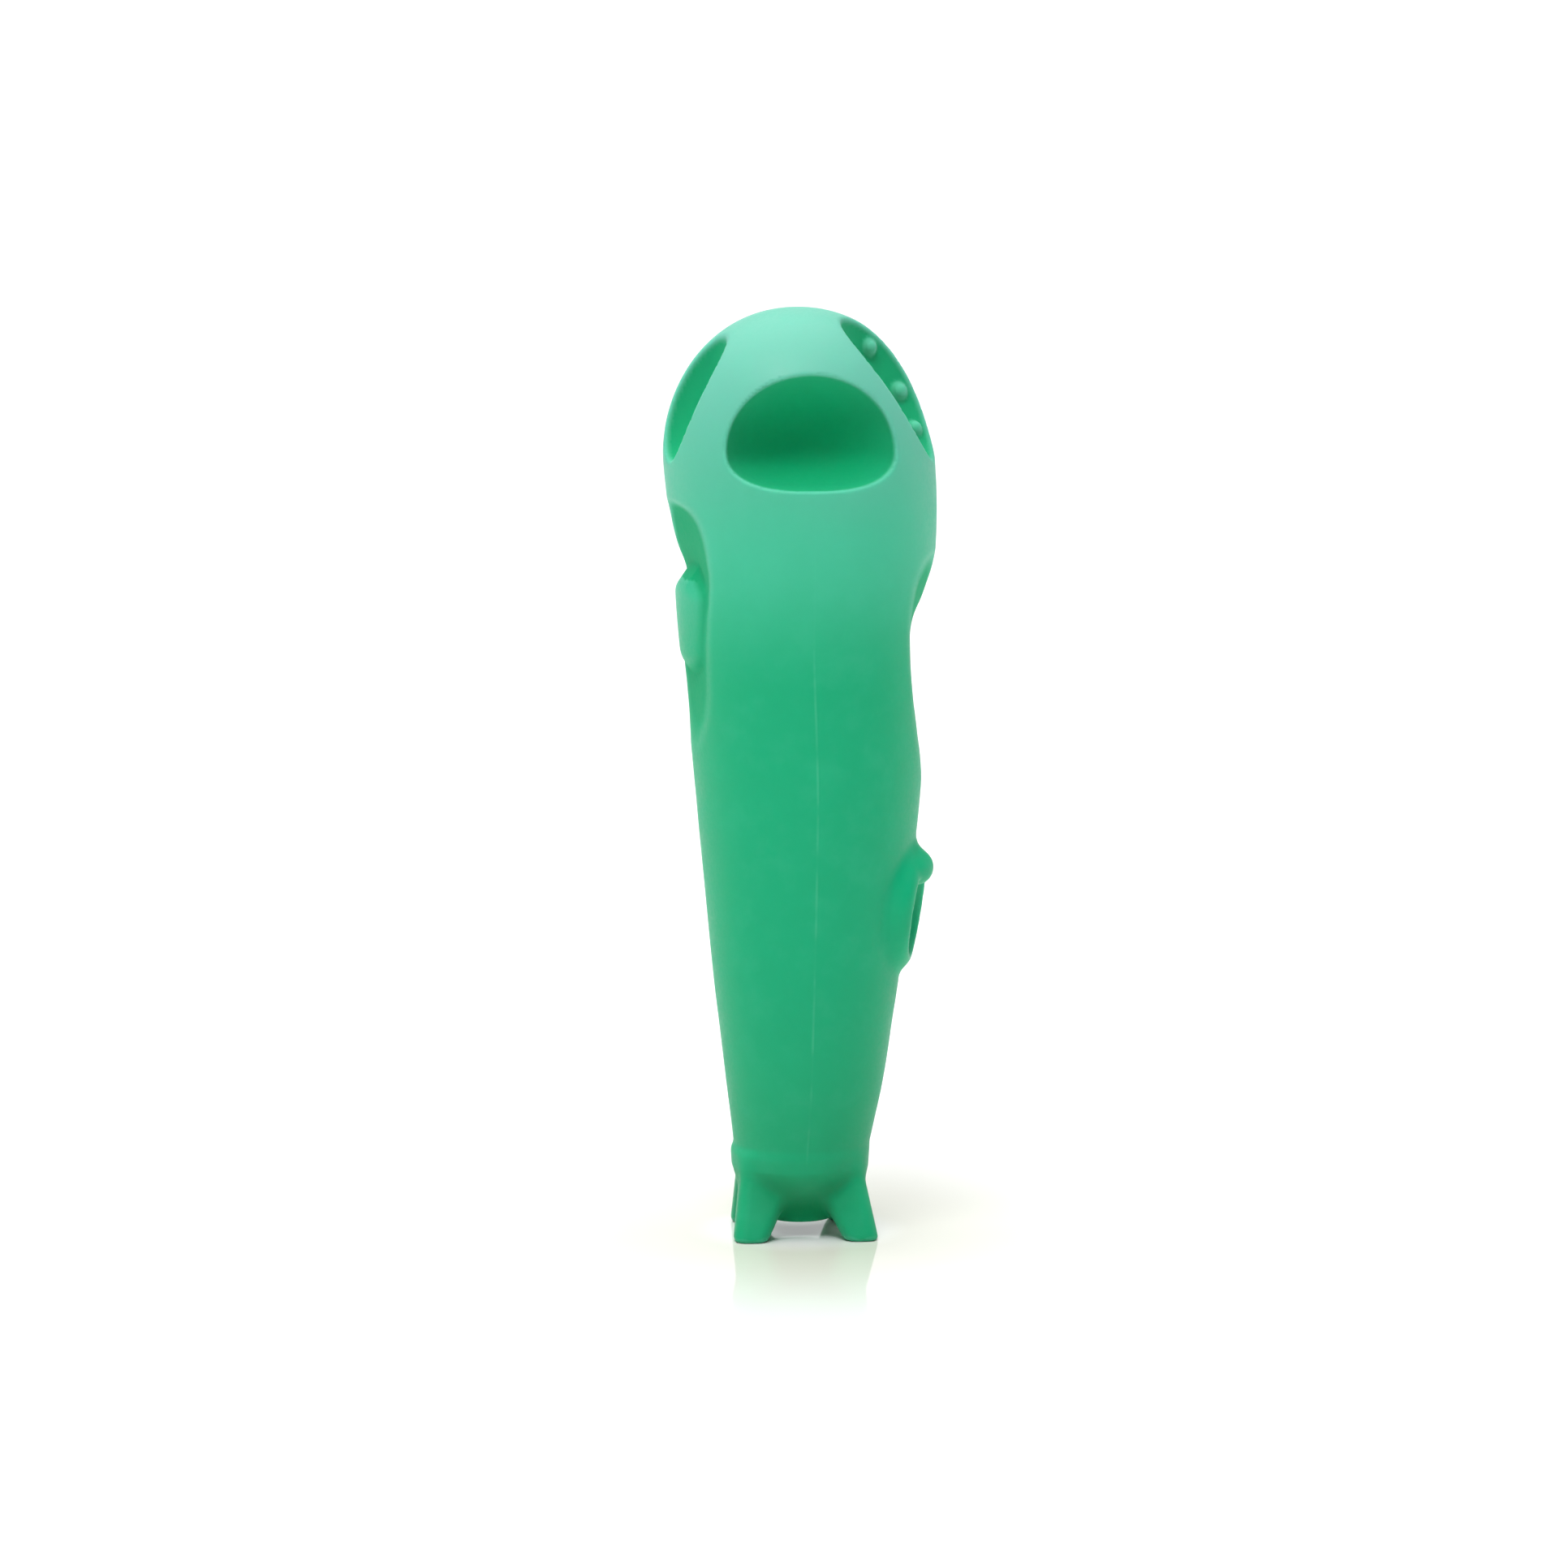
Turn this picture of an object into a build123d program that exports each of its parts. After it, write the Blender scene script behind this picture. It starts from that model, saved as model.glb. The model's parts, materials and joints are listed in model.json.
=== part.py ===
from build123d import *
import os
from math import sin, cos, radians, sqrt

os.makedirs("parts", exist_ok=True)

# ---------------------------------------------------------------- dimensions
# All in millimetres.  Z is the pipette axis, the floor is z = 0, the thumb
# dent faces -Y and the vent ring is on +X.
HEIGHT = 160.0            # overall height standing on its feet
WALL = 2.8                # silicone wall thickness

# head: ellipsoid of revolution
HEAD_Z = 133.0            # centre height
HEAD_R = 23.2             # radius across
HEAD_H = HEIGHT - HEAD_Z  # half height

# handle: height, sideways shift of the section, radius of the section
HANDLE = [
    (9.6, 0.1, 10.2),
    (12.5, 0.2, 11.1),
    (20.0, 0.6, 12.4),
    (30.0, 1.0, 14.0),
    (42.0, 1.15, 15.6),
    (56.0, 1.35, 17.2),
    (70.0, 1.45, 18.6),
    (84.0, 1.3, 19.8),
    (98.0, 0.8, 20.8),
    (112.0, 0.6, 21.9),
    (123.0, 0.5, 22.6),
    (131.0, 0.1, 23.05),
]
FLOOR_Z = 14.0            # floor of the cavity inside the handle

# feet: four splayed legs
FOOT_PAD = 5.9            # side of a foot where it meets the bench
FEET = {(-1, -1): (9.2, 8.9), (1, -1): (9.95, 8.9), (-1, 1): (7.9, 8.5), (1, 1): (8.6, 8.5)}   # centres
LEG_ROOT = (9.8, 7.2)     # sides of a leg where it leaves the handle
LEG_ROOT_AT = (5.6, 4.4)
LEG_TOP = 11.0

# nozzle
NOZZLE_R = 6.4
NOZZLE_Z = 2.8            # lower rim
NOZZLE_BORE = 5.0

# thumb dent in the front of the head: an ellipsoid long in x
THUMB = (0.0, -21.5, 140.2)
THUMB_A, THUMB_B = 15.0, 10.4      # half length in x, radius in y and z
THUMB_WALL = (10.0, 7.2)           # half width and half height of the moving wall

# finger dents in the two sides of the head, revolved ellipsoids: a point on the
# head, the way out, the long axis, half length, radius, how far the centre stands out
SIDE_DENT = {
    -1: ((-19.7, -4.8, 147.2), (-.943, -.212, .256), (.263, -.002, .965), 14.2, 6.6, 0.7),
    1: ((17.9, -4.8, 147.2), (.791, -.285, .541), (-.581, -.071, .811), 17.2, 9.0, 2.6),
}
SIDE_WALL = {-1: (8.0, 3.6), 1: (8.4, 4.2)}    # half length and half width of the moving walls

# finger recess on each side of the waist: height, distance from the axis
RECESS_TURN_L, RECESS_TURN_R = 8.0, 6.0      # each runs deeper toward the front
RECESS_L_LINE = [(82.0, 20.9), (86.0, 18.9), (90.4, 18.2), (95.0, 18.1), (102.0, 18.3), (108.0, 17.9),
                 (114.0, 17.5), (118.0, 18.6), (122.7, 20.2), (126.4, 21.6), (128.6, 24.4)]
RECESS_R_LINE = [(78.0, 21.8), (84.0, 20.6), (91.2, 19.7), (97.1, 19.1), (102.8, 18.8), (107.0, 19.3),
                 (111.8, 20.7), (115.0, 21.7), (119.0, 23.5), (121.0, 25.0)]

# pinch pad standing in the left waist recess
PAD_Y, PAD_Z = -1.2, 106.0
PAD_HALF = (8.4, 5.4)              # half width and half height
PAD_NOSE_X = 9.9
PAD_TRAVEL = 3.0

# vent ring and button on the right of the handle
RING_Z = 57.2
RING_X = 18.0                      # ring centre, measured out from the pipette axis
RING_MAJOR, RING_MINOR = 7.3, 2.9
BUTTON_R = 4.2
GAP = 0.3                          # gap round every moving soft wall

# core
CORE_R, CORE_BORE = 6.5, 4.5
CORE_Z0, CORE_Z1 = 34.0, 98.0
BRANCH_R, BRANCH_BORE = 5.0, 3.4
PORT_R, STEM_R = 1.6, 1.0

# pipette socket
SOCKET_R = 3.4                     # grips shafts of about 7 to 8 mm
SOCKET_TOP = 19.0

t = radians(RECESS_TURN_R)
RECESS_R = Plane(origin=(0, 0, 0), x_dir=(cos(t), -sin(t), 0), z_dir=(-sin(t), -cos(t), 0))
t = radians(RECESS_TURN_L)
RECESS_L = Plane(origin=(0, 0, 0), x_dir=(-cos(t), -sin(t), 0), z_dir=(-sin(t), cos(t), 0))


def dent_plane(side, offset=0.0):
    """Plane whose normal points out of a side dent; its x axis is the dent's length."""
    at, out, along, a, b, proud = SIDE_DENT[side]
    n = Vector(*out).normalized()
    o = Vector(*at) + n * (proud + offset)
    x = Vector(*along)
    x = (x - n * x.dot(n)).normalized()
    return Plane(origin=o, x_dir=x, z_dir=n)


# the vent points out of the handle 77 degrees round from the front
VENT_TURN = radians(77)


def vent_plane(offset):
    """Plane across the vent's axis; its x axis is level and its y axis is up."""
    out = (sin(VENT_TURN), -cos(VENT_TURN), 0)
    return Plane(origin=(out[0] * offset, out[1] * offset, 0), x_dir=(cos(VENT_TURN), sin(VENT_TURN), 0), z_dir=out)


# ---------------------------------------------------------------- outer form
with BuildPart() as outer_form:
    for z, c, r in HANDLE:
        with BuildSketch(Plane.XY.offset(z)):
            with Locations((c, 0)):
                Circle(r)
    loft()
    with BuildSketch(Plane.XZ):
        with BuildLine():
            EllipticalCenterArc((0, HEAD_Z), HEAD_R, HEAD_H, start_angle=-90, arc_size=180)
            Line((0, HEAD_Z + HEAD_H), (0, HEAD_Z - HEAD_H))
        make_face()
    revolve(axis=Axis.Z)

# cavity of the head and the handle, wall thickness inside the outer form
with BuildPart() as cavity_form:
    for z, c, r in HANDLE[1:]:
        with BuildSketch(Plane.XY.offset(max(z, FLOOR_Z))):
            with Locations((c, 0)):
                Circle(r - WALL)
    loft()
    with BuildSketch(Plane.XZ):
        with BuildLine():
            EllipticalCenterArc((0, HEAD_Z), HEAD_R - WALL, HEAD_H - WALL, start_angle=-90, arc_size=180)
            Line((0, HEAD_Z + HEAD_H - WALL), (0, HEAD_Z - HEAD_H + WALL))
        make_face()
    revolve(axis=Axis.Z)

# ---------------------------------------------------------------- dent cutters
def dent_cutter(grow):
    with BuildPart() as cutter:
        with BuildSketch(Plane(origin=THUMB, x_dir=(1, 0, 0), z_dir=(0, -1, 0))):
            with BuildLine():
                EllipticalCenterArc((0, 0), THUMB_A + grow, THUMB_B + grow, start_angle=0, arc_size=180)
                Line((-(THUMB_A + grow), 0), (THUMB_A + grow, 0))
            make_face()
        revolve(axis=Axis(THUMB, (1, 0, 0)))
        for side in (-1, 1):
            p = dent_plane(side)
            with BuildSketch(p):
                with BuildLine():
                    a, b = SIDE_DENT[side][3] + grow, SIDE_DENT[side][4] + grow
                    EllipticalCenterArc((0, 0), a, b, start_angle=0, arc_size=180)
                    Line((-a, 0), (a, 0))
                make_face()
            revolve(axis=Axis(p.origin, p.x_dir))
        for plane, line in ((RECESS_R, RECESS_R_LINE), (RECESS_L, RECESS_L_LINE)):
            with BuildSketch(plane):
                with BuildLine():
                    pts = [(u - grow, z) for z, u in line]
                    s = Spline(pts)
                    Polyline(s @ 1, (40, line[-1][0] + 4), (40, line[0][0] - 4), s @ 0)
                make_face()
            extrude(amount=45, both=True)
    return cutter.part


dents = dent_cutter(0.0)
dents_inner = dent_cutter(WALL)

# ---------------------------------------------------------------- soft shell
with BuildPart() as shell:
    add(outer_form.part)
    # legs, one per corner
    for sx in (-1, 1):
        for sy in (-1, 1):
            with BuildSketch(Plane.XY):
                with Locations((sx * FEET[sx, sy][0], sy * FEET[sx, sy][1])):
                    RectangleRounded(FOOT_PAD, FOOT_PAD, 2.0)
            with BuildSketch(Plane.XY.offset(LEG_TOP)):
                with Locations((sx * LEG_ROOT_AT[0], sy * LEG_ROOT_AT[1])):
                    RectangleRounded(*LEG_ROOT, 2.0)
            loft()
    # nozzle
    with BuildSketch(Plane.XY.offset(NOZZLE_Z)):
        Circle(NOZZLE_R)
    extrude(amount=10)
    # vent ring round its button
    with Locations(vent_plane(RING_X).location * Location((0, RING_Z, 0))):
        Torus(RING_MAJOR, RING_MINOR)
    # seat that carries the ring down into the handle wall
    with BuildSketch(vent_plane(14.4)):
        with Locations((0, RING_Z)):
            Circle(RING_MAJOR + 1.6)
    extrude(amount=3.0)
    add(dents, mode=Mode.SUBTRACT)

with BuildPart() as cavity:
    add(cavity_form.part)
    add(dents_inner, mode=Mode.SUBTRACT)

with BuildPart() as shell_wall:
    add(shell.part)
    add(cavity.part, mode=Mode.SUBTRACT)

thumb_plane = Plane(origin=(0, -30, THUMB[2] - 0.2), x_dir=(1, 0, 0), z_dir=(0, 1, 0))
left_plane = dent_plane(-1, 8.0)
right_plane = dent_plane(1, 8.0)

# ---------------------------------------------------------------- silicone body
with BuildPart() as silicone_body:
    add(shell_wall.part)
    # openings for the moving walls
    with BuildSketch(thumb_plane):
        Ellipse(THUMB_WALL[0] + GAP, THUMB_WALL[1] + GAP)
    extrude(amount=22, mode=Mode.SUBTRACT)
    for side, p in ((-1, left_plane), (1, right_plane)):
        with BuildSketch(p):
            Ellipse(SIDE_WALL[side][0] + GAP, SIDE_WALL[side][1] + GAP)
        extrude(amount=-20, mode=Mode.SUBTRACT)
    # opening for the waist pad
    with BuildSketch(Plane.YZ.offset(-8)):
        with Locations((PAD_Y, PAD_Z)):
            Ellipse(PAD_HALF[0] + GAP, PAD_HALF[1] + GAP)
    extrude(amount=-18, mode=Mode.SUBTRACT)
    # opening for the vent button
    with BuildSketch(vent_plane(13)):
        with Locations((0, RING_Z)):
            Circle(BUTTON_R + GAP)
    extrude(amount=10, mode=Mode.SUBTRACT)
    # room inside the ring seat for the valve branch
    with BuildSketch(vent_plane(8)):
        with Locations((0, RING_Z)):
            Circle(BRANCH_R + 0.5)
    extrude(amount=6.6, mode=Mode.SUBTRACT)
    # bore for the pipette sleeve
    with BuildSketch(Plane.XY):
        Circle(NOZZLE_BORE)
    extrude(amount=16, mode=Mode.SUBTRACT)
    # seat for the exhaust valve in the back of the head
    with BuildSketch(Plane.XZ.offset(-10)):
        with Locations((0, 142)):
            Circle(4.0)
    extrude(amount=-16, mode=Mode.SUBTRACT)
silicone_body.part.label = "silicone_body"
export_step(silicone_body.part, "parts/silicone_body.step")

# ---------------------------------------------------------------- moving soft walls
with BuildPart() as thumb_dent_wall:
    add(shell_wall.part)
    with BuildSketch(thumb_plane):
        Ellipse(*THUMB_WALL)
    extrude(amount=22, mode=Mode.INTERSECT)
thumb_dent_wall.part.label = "thumb_dent_wall"
export_step(thumb_dent_wall.part, "parts/thumb_dent_wall.step")

with BuildPart() as left_dent_wall:
    add(shell_wall.part)
    with BuildSketch(left_plane):
        Ellipse(*SIDE_WALL[-1])
    extrude(amount=-20, mode=Mode.INTERSECT)
left_dent_wall.part.label = "left_dent_wall"
export_step(left_dent_wall.part, "parts/left_dent_wall.step")

with BuildPart() as right_dent_wall:
    add(shell_wall.part)
    with BuildSketch(right_plane):
        Ellipse(*SIDE_WALL[1])
    extrude(amount=-20, mode=Mode.INTERSECT)
    # grip nubs in the floor of this dent
    nub_floor = right_plane.offset(-8.0 - SIDE_DENT[1][4] + 0.6)
    with BuildSketch(nub_floor):
        with Locations((-6.2, 0), (-0.4, 0), (5.4, 0)):
            Circle(1.25)
    extrude(amount=-1.2)
    with Locations(*[nub_floor.location * Location((u, 0, 0)) for u in (-6.2, -0.4, 5.4)]):
        Sphere(1.25)
right_dent_wall.part.label = "right_dent_wall"
export_step(right_dent_wall.part, "parts/right_dent_wall.step")

with BuildPart() as suction_pad:
    add(outer_form.part)
    with BuildSketch(Plane.YZ.offset(-PAD_NOSE_X - 3.0)):
        with Locations((PAD_Y, PAD_Z)):
            Ellipse(*PAD_HALF)
    extrude(amount=-14, mode=Mode.INTERSECT)
    # narrower nose that reaches the valve tube
    with BuildSketch(Plane.YZ.offset(-PAD_NOSE_X)):
        with Locations((0.0, PAD_Z)):
            Circle(3.4)
    extrude(amount=-4.0)
    fillet(suction_pad.edges().filter_by(GeomType.CIRCLE).group_by(Axis.X)[-1], 0.8)
suction_pad.part.label = "suction_pad"
export_step(suction_pad.part, "parts/suction_pad.step")

with BuildPart() as vent_button:
    with BuildSketch(vent_plane(14.9)):
        with Locations((0, RING_Z)):
            Circle(BUTTON_R)
    extrude(amount=2.2)
    with Locations(vent_plane(17.1 + 7.6).location * Location((0, RING_Z, 0))):
        Sphere(8.0, mode=Mode.SUBTRACT)
    with BuildSketch(vent_plane(14.1)):
        with Locations((0, RING_Z)):
            Circle(2.2)
    extrude(amount=1.0)
vent_button.part.label = "vent_button"
export_step(vent_button.part, "parts/vent_button.step")

# ---------------------------------------------------------------- core
with BuildPart() as core_tube:
    with BuildSketch(Plane.XY.offset(CORE_Z0)):
        Circle(CORE_R)
    extrude(amount=CORE_Z1 - CORE_Z0)
    with BuildSketch(vent_plane(2.0)):
        with Locations((0, RING_Z)):
            Circle(BRANCH_R)
    extrude(amount=11.4)
    with BuildSketch(Plane.XY.offset(CORE_Z0)):
        Circle(CORE_BORE)
    extrude(amount=CORE_Z1 - CORE_Z0, mode=Mode.SUBTRACT)
    with BuildSketch(vent_plane(7.0)):
        with Locations((0, RING_Z)):
            Circle(BRANCH_BORE)
    extrude(amount=8, mode=Mode.SUBTRACT)
    with BuildSketch(vent_plane(3.0)):
        with Locations((0, RING_Z)):
            Circle(PORT_R)
    extrude(amount=6, mode=Mode.SUBTRACT)
    # bleed slot in the side of the branch
    with BuildSketch(Plane(origin=(0, 0, 0), x_dir=(sin(VENT_TURN), -cos(VENT_TURN), 0), z_dir=(-cos(VENT_TURN), -sin(VENT_TURN), 0))):
        with Locations((10.0, RING_Z)):
            SlotCenterToCenter(2.0, 1.4)
    extrude(amount=8, mode=Mode.SUBTRACT)
    fillet(core_tube.edges().filter_by(GeomType.CIRCLE).group_by(Axis.Z)[-1], 0.4)
core_tube.part.label = "core_tube"
export_step(core_tube.part, "parts/core_tube.step")

for name, z in (("lower_centring_ring", 44.0), ("upper_centring_ring", 79.0)):
    # handle radius and shift at this height
    for (z0, c0, r0), (z1, c1, r1) in zip(HANDLE, HANDLE[1:]):
        if z0 <= z <= z1:
            k = (z - z0) / (z1 - z0)
            c, r = c0 + k * (c1 - c0), r0 + k * (r1 - r0)
    rim = r - WALL - 0.35
    with BuildPart() as centring_ring:
        with BuildSketch(Plane.XY.offset(z)):
            with Locations((c, 0)):
                Circle(rim)
                Circle(rim - 1.4, mode=Mode.SUBTRACT)
            for a in (45, 135, 225, 315):
                with Locations(Location((0, 0), a)):
                    with Locations((CORE_R + (rim - CORE_R) / 2 - 0.2, 0)):
                        Rectangle(rim - CORE_R, 1.6)
            Circle(CORE_R + 1.2)
            Circle(CORE_R, mode=Mode.SUBTRACT)
        extrude(amount=2.4)
        with BuildSketch(Plane.XY.offset(z)):
            with Locations((c, 0)):
                Circle(rim + 6)
                Circle(rim, mode=Mode.SUBTRACT)
        extrude(amount=2.4, mode=Mode.SUBTRACT)
    centring_ring.part.label = name
    export_step(centring_ring.part, "parts/" + name + ".step")

# suction valve: seat, ball, soft tube, adapter into the head
with BuildPart() as suction_valve_seat:
    with BuildSketch(Plane.XY.offset(CORE_Z1)):
        Circle(CORE_R)
    extrude(amount=2.0)
    with BuildSketch(Plane.XY.offset(CORE_Z1 + 2.0)):
        Circle(4.1)
    extrude(amount=2.2)
    with BuildSketch(Plane.XY.offset(CORE_Z1 - 3.0)):
        Circle(CORE_BORE)
    extrude(amount=3.0)
    with BuildSketch(Plane.XY.offset(CORE_Z1 - 3.0)):
        Circle(2.4)
    extrude(amount=8, mode=Mode.SUBTRACT)
    with Locations(Location((0, 0, CORE_Z1 + 6.6))):
        Sphere(3.75, mode=Mode.SUBTRACT)
suction_valve_seat.part.label = "suction_valve_seat"
export_step(suction_valve_seat.part, "parts/suction_valve_seat.step")

with BuildPart() as suction_check_ball:
    with Locations(Location((0, 0, CORE_Z1 + 6.65))):
        Sphere(3.7)
suction_check_ball.part.label = "suction_check_ball"
export_step(suction_check_ball.part, "parts/suction_check_ball.step")

TUBE_Z0, TUBE_Z1 = CORE_Z1 + 2.0, 118.0
with BuildPart() as suction_valve_tube:
    with BuildSketch(Plane.XY.offset(TUBE_Z0)):
        Circle(CORE_R)
        Circle(4.1, mode=Mode.SUBTRACT)
    extrude(amount=TUBE_Z1 - TUBE_Z0)
    # slots the air passes through when the tube is pinched
    with BuildSketch(Plane.XY.offset(TUBE_Z0 + 4)):
        with PolarLocations(4.2, 4, start_angle=45):
            Circle(0.8)
    extrude(amount=TUBE_Z1 - TUBE_Z0 - 4, mode=Mode.SUBTRACT)
suction_valve_tube.part.label = "suction_valve_tube"
export_step(suction_valve_tube.part, "parts/suction_valve_tube.step")

with BuildPart() as chamber_adapter:
    with BuildSketch(Plane.XY.offset(TUBE_Z1)):
        Circle(CORE_R)
    extrude(amount=4.0)
    with BuildSketch(Plane.XY.offset(TUBE_Z1 - 4.0)):
        Circle(4.1)
    extrude(amount=4.0)
    with BuildSketch(Plane.XY.offset(TUBE_Z1 - 4.0)):
        Circle(2.0)
    extrude(amount=9.0, mode=Mode.SUBTRACT)
    # cross ports so that a lifted ball does not close the way up
    with BuildSketch(Plane.XY.offset(TUBE_Z1 - 4.0)):
        Rectangle(9, 1.2)
        Rectangle(1.2, 9)
    extrude(amount=1.5, mode=Mode.SUBTRACT)
    fillet(chamber_adapter.edges().filter_by(GeomType.CIRCLE).group_by(Axis.Z)[-1], 0.5)
chamber_adapter.part.label = "chamber_adapter"
export_step(chamber_adapter.part, "parts/chamber_adapter.step")

# ---------------------------------------------------------------- vent valve behind the button
with BuildPart() as vent_stem:
    with BuildSketch(vent_plane(2.4)):
        with Locations((0, RING_Z)):
            Circle(2.3)
    extrude(amount=1.0)
    with BuildSketch(vent_plane(3.4)):
        with Locations((0, RING_Z)):
            Circle(STEM_R)
    extrude(amount=10.2)
    with BuildSketch(vent_plane(12.2)):
        with Locations((0, RING_Z)):
            Circle(3.32)
            with PolarLocations(3.3, 3):
                Circle(0.9, mode=Mode.SUBTRACT)
    extrude(amount=1.9)
vent_stem.part.label = "vent_stem"
export_step(vent_stem.part, "parts/vent_stem.step")

with BuildPart() as vent_seal_ring:
    with Locations(vent_plane(3.62).location * Location((0, RING_Z, 0))):
        Torus(1.32, 0.22)
vent_seal_ring.part.label = "vent_seal_ring"
export_step(vent_seal_ring.part, "parts/vent_seal_ring.step")

# ---------------------------------------------------------------- exhaust valve, back of the head
EX_Z = 142.0
with BuildPart() as exhaust_valve_body:
    with BuildSketch(Plane.XZ.offset(-12.0)):
        with Locations((0, EX_Z)):
            Circle(4.0)
    extrude(amount=-9.2)
    with BuildSketch(Plane.XZ.offset(-13.2)):
        with Locations((0, EX_Z)):
            Circle(5.2)
    extrude(amount=-1.8)
    with BuildSketch(Plane.XZ.offset(-11.5)):
        with Locations((0, EX_Z)):
            Circle(1.4)
    extrude(amount=-4, mode=Mode.SUBTRACT)
    with BuildSketch(Plane.XZ.offset(-14.0)):
        with Locations((0, EX_Z)):
            Circle(2.6)
    extrude(amount=-8, mode=Mode.SUBTRACT)
exhaust_valve_body.part.label = "exhaust_valve_body"
export_step(exhaust_valve_body.part, "parts/exhaust_valve_body.step")

with BuildPart() as exhaust_check_ball:
    with Locations(Location((0, 15.68, EX_Z))):
        Sphere(2.15)
exhaust_check_ball.part.label = "exhaust_check_ball"
export_step(exhaust_check_ball.part, "parts/exhaust_check_ball.step")

with BuildPart() as exhaust_valve_cap:
    with BuildSketch(Plane.XZ.offset(-19.6)):
        with Locations((0, EX_Z)):
            Circle(2.6)
            with PolarLocations(1.3, 5):
                Circle(0.5, mode=Mode.SUBTRACT)
    extrude(amount=-1.4)
exhaust_valve_cap.part.label = "exhaust_valve_cap"
export_step(exhaust_valve_cap.part, "parts/exhaust_valve_cap.step")

# ---------------------------------------------------------------- filter and socket
with BuildPart() as pipette_sleeve:
    with BuildSketch(Plane.XZ):
        with BuildLine():
            Polyline((NOZZLE_BORE, NOZZLE_Z + 0.4), (NOZZLE_BORE, FLOOR_Z), (7.0, FLOOR_Z), (7.0, FLOOR_Z + 1.6),
                     (5.4, FLOOR_Z + 1.6), (5.4, SOCKET_TOP), (SOCKET_R, SOCKET_TOP), (SOCKET_R, NOZZLE_Z + 1.6),
                     (SOCKET_R + 0.9, NOZZLE_Z + 0.4), (NOZZLE_BORE, NOZZLE_Z + 0.4))
        make_face()
    revolve(axis=Axis.Z)
pipette_sleeve.part.label = "pipette_sleeve"
export_step(pipette_sleeve.part, "parts/pipette_sleeve.step")

with BuildPart() as filter_cap:
    with BuildSketch(Plane.XZ):
        with BuildLine():
            Polyline((1.5, SOCKET_TOP), (7.2, SOCKET_TOP), (8.1, SOCKET_TOP + 1.4), (8.1, SOCKET_TOP + 5.0), (6.6, SOCKET_TOP + 5.0),
                     (6.6, SOCKET_TOP + 2.8), (1.5, SOCKET_TOP + 2.0), (1.5, SOCKET_TOP))
        make_face()
    revolve(axis=Axis.Z)
filter_cap.part.label = "filter_cap"
export_step(filter_cap.part, "parts/filter_cap.step")

with BuildPart() as filter_gasket:
    with Locations(Location((0, 0, SOCKET_TOP + 3.6))):
        Torus(5.75, 0.75)
filter_gasket.part.label = "filter_gasket"
export_step(filter_gasket.part, "parts/filter_gasket.step")

with BuildPart() as filter_disc:
    with BuildSketch(Plane.XY.offset(SOCKET_TOP + 4.4)):
        Circle(6.5)
    extrude(amount=1.2)
filter_disc.part.label = "filter_disc"
export_step(filter_disc.part, "parts/filter_disc.step")

with BuildPart() as filter_housing:
    with BuildSketch(Plane.XZ):
        with BuildLine():
            Polyline((6.65, SOCKET_TOP + 5.05), (8.9, SOCKET_TOP + 5.05), (8.9, 28.0), (CORE_R, 31.0), (CORE_R, CORE_Z0), (CORE_BORE, CORE_Z0),
                     (CORE_BORE, CORE_Z0 + 4), (3.2, CORE_Z0 + 4), (3.2, 30.5), (6.2, 26.6), (6.2, SOCKET_TOP + 5.65), (6.65, SOCKET_TOP + 5.65),
                     (6.65, SOCKET_TOP + 5.05))
        make_face()
    revolve(axis=Axis.Z)
filter_housing.part.label = "filter_housing"
export_step(filter_housing.part, "parts/filter_housing.step")
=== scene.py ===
import bpy, json, math
import numpy as np
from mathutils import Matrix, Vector


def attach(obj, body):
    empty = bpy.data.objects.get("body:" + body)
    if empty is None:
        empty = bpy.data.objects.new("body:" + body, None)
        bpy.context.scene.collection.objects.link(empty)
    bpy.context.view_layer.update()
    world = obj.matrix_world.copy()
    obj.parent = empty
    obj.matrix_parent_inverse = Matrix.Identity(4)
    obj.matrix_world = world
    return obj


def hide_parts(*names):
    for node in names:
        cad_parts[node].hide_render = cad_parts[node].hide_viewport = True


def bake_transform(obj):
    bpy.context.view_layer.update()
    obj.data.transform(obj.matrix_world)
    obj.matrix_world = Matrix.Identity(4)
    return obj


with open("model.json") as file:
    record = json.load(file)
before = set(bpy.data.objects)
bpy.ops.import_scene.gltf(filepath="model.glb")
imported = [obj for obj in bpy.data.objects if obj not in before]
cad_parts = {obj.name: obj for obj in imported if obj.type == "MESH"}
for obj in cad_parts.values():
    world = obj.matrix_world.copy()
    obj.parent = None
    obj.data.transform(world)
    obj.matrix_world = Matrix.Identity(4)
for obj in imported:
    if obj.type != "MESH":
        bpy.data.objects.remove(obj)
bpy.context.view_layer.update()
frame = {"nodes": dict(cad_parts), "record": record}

# ------------------------------------------------------------------ skin shape
# Everything in this section is in millimetres, in the row frame: Z up the
# pipette axis, the floor at z = 0, the thumb dent facing -Y, the vent on +X.
# The whole silicone skin is one distance-like field (negative inside), which
# is meshed further down and split into its pieces.
HEAD_Z, HEAD_R, HEAD_H = 133.0, 23.2, 27.0

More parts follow.
